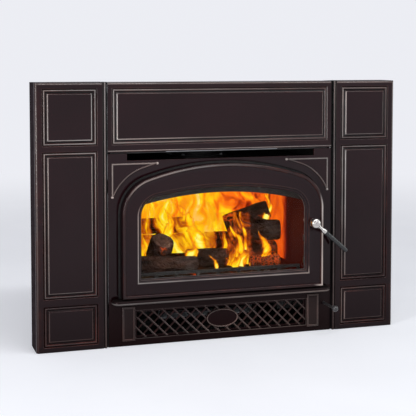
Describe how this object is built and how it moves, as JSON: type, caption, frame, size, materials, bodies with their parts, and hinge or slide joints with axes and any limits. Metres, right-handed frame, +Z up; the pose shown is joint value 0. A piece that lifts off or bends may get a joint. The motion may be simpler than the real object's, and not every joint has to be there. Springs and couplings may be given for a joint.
{
  "type": "wood-burning fireplace insert",
  "caption": "Fireplace insert with a moulded cast surround, arched glass door, hot-air slot, ash lip, lattice air grille, log fire, flue collar and steel casing.",
  "frame": {"origin": "on the hearth, at the middle of the surround's width, in the plane of the fireplace wall", "axes": "+X to the right along the front, +Y from the room into the fireplace, +Z up"},
  "size_m": [1.143, 0.555, 0.787],
  "materials": {
    "enamel": "dark brown gloss enamel on cast iron",
    "steel_bracket": "zinc-plated sheet steel",
    "bolts": "zinc-plated steel",
    "ceramic_glass": "clear glass-ceramic pane",
    "seal_rope": "grey woven glass-fibre rope and tape",
    "cast_seat": "matt black stove paint on cast iron",
    "latch_steel": "plain turned steel",
    "nickel": "polished nickel plate",
    "black_grip": "black satin moulded grip",
    "firebox_steel": "heat-darkened steel plate",
    "firebrick": "buff firebrick, sooted",
    "tube_steel": "heat-tinted stainless tube",
    "baffle_fibre": "white ceramic-fibre board, sooted",
    "embers": "grey ash over glowing embers",
    "casing_sheet": "black painted sheet steel",
    "knob_black": "dark grey moulded ball",
    "rotor_aluminium": "rolled aluminium blades",
    "motor_black": "black painted motor shell",
    "charred_log": "charred split hardwood"
  },
  "bodies": {
    "root": {"surround_left_panel": "enamel", "surround_right_panel": "enamel", "surround_top_panel": "enamel", "surround_bridges": "steel_bracket", "surround_straps": "steel_bracket", "surround_bolts": "bolts", "surround_top_angle": "steel_bracket", "front_plate": "enamel", "lower_front": "enamel", "grille": "enamel", "grille_screws": "bolts", "ash_lip": "enamel", "front_bolts": "bolts", "hinge_lugs": "cast_seat", "lug_bolts": "bolts", "door_seat": "cast_seat", "firebox_floor": "firebox_steel", "firebox_sides": "firebox_steel", "firebox_rear": "firebox_steel", "firebox_roof": "firebox_steel", "firebox_legs": "firebox_steel", "flue_collar": "cast_seat", "flue_bolts": "bolts", "air_wash_lintel": "firebox_steel", "floor_bricks": "firebrick", "side_bricks": "firebrick", "rear_bricks": "firebrick", "air_tubes": "tube_steel", "baffle_board": "baffle_fibre", "ember_bed": "embers", "log_fence": "cast_seat", "base_plate": "casing_sheet", "casing_sides": "casing_sheet", "casing_rear": "casing_sheet", "casing_lid": "casing_sheet", "air_box": "casing_sheet", "blower_housing": "casing_sheet", "blower_motor": "motor_black", "logs_front": "charred_log", "logs_rear": "charred_log"},
    "door": {"door_frame": "enamel", "door_glass": "ceramic_glass", "glass_gasket": "seal_rope", "glass_clips": "steel_bracket", "clip_screws": "bolts", "door_gasket": "seal_rope", "hinge_pins": "bolts"},
    "latch": {"latch_shaft": "latch_steel", "latch_bushing": "latch_steel", "latch_pawl": "latch_steel", "latch_nut": "bolts", "handle_hub": "nickel", "handle_grip": "black_grip"},
    "air_control": {"air_rod": "latch_steel", "air_knob": "knob_black", "air_shutter": "firebox_steel"},
    "rotor": {"blower_rotor": "rotor_aluminium"}
  },
  "joints": [
    {"name": "door_swing", "type": "hinge", "parent": "root", "child": "door", "pos_m": [-0.31, -0.106, 0.287], "axis": [0, 0, -1], "range_deg": [0, 95]},
    {"name": "handle_turn", "type": "hinge", "parent": "door", "child": "latch", "pos_m": [0.282, -0.117, 0.35], "axis": [0, 1, 0], "range_deg": [-40, 50]},
    {"name": "air_control_slide", "type": "slide", "parent": "root", "child": "air_control", "axis": [0, 1, 0], "range_m": [0, 0.055]},
    {"name": "blower_spin", "type": "hinge", "parent": "root", "child": "rotor", "pos_m": [0, 0.12, 0.059], "axis": [1, 0, 0], "continuous": true}
  ]
}
